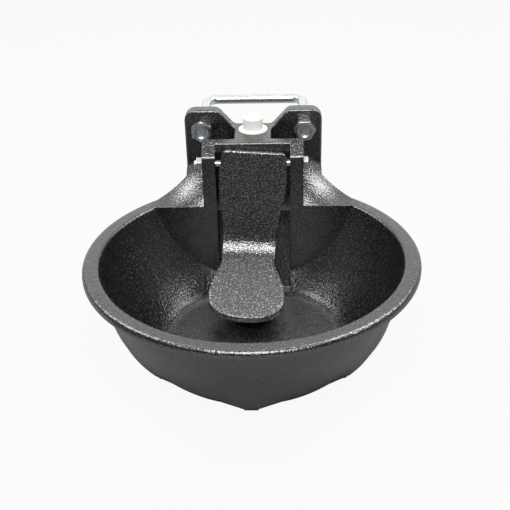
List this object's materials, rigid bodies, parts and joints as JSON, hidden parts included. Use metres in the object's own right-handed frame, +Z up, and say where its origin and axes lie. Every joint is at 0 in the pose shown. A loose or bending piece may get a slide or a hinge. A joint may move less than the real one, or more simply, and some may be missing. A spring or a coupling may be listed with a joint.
{
  "type": "livestock drinking bowl",
  "caption": "Round cast-iron drinking bowl for livestock with a nose paddle that pushes a water valve open, clamped to a post by a U-bolt",
  "frame": {"origin": "on the flat rear mounting face, midway between the two U-bolt holes", "axes": "+X to the right seen from the front, +Y out of the rear face into the post, +Z up; the bowl is at -Y"},
  "size_m": [0.27, 0.3429, 0.1628],
  "materials": {
    "bowl_casting": "black semi-gloss paint over the fine skin of a sand casting",
    "paddle": "black semi-gloss paint over the fine skin of a sand casting",
    "pivot_bolt": "zinc plated, bluish silver",
    "pivot_nut": "zinc plated, bluish silver",
    "u_bolt": "zinc plated, bluish silver",
    "u_bolt_nuts": "zinc plated, bluish silver",
    "inlet_plug": "white moulded polyethylene",
    "valve_body": "turned brass",
    "valve_gasket": "black rubber",
    "stem_guide": "turned brass",
    "valve_stem": "turned stainless steel",
    "seal_disc": "black rubber",
    "seal_backing": "stamped brass",
    "stem_clip": "spring steel",
    "valve_spring": "stainless spring wire",
    "spring_retainer": "stamped brass"
  },
  "bodies": {
    "bowl": {"bowl_casting": "bowl_casting", "u_bolt": "u_bolt", "u_bolt_nuts": "u_bolt_nuts", "pivot_bolt": "pivot_bolt", "pivot_nut": "pivot_nut", "inlet_plug": "inlet_plug", "valve_body": "valve_body", "valve_gasket": "valve_gasket", "stem_guide": "stem_guide", "spring_retainer": "spring_retainer", "valve_spring": "valve_spring"},
    "paddle": {"paddle": "paddle"},
    "stem": {"valve_stem": "valve_stem", "seal_disc": "seal_disc", "seal_backing": "seal_backing", "stem_clip": "stem_clip"}
  },
  "joints": [
    {"name": "paddle_press", "type": "hinge", "parent": "bowl", "child": "paddle", "pos_m": [0, -0.0455, -0.0185], "axis": [1, 0, 0], "range_deg": [0, 4.5], "stiffness_Nm_per_rad": 2.35, "springref_deg": -8.59},
    {"name": "stem_slide", "type": "slide", "parent": "bowl", "child": "stem", "axis": [0, 1, 0], "range_m": [0, 0.0024], "deforming": ["valve_spring"]}
  ],
  "couplings": [
    {"joint": "stem_slide", "follows": "paddle_press", "m_per_rad": 0.028}
  ]
}
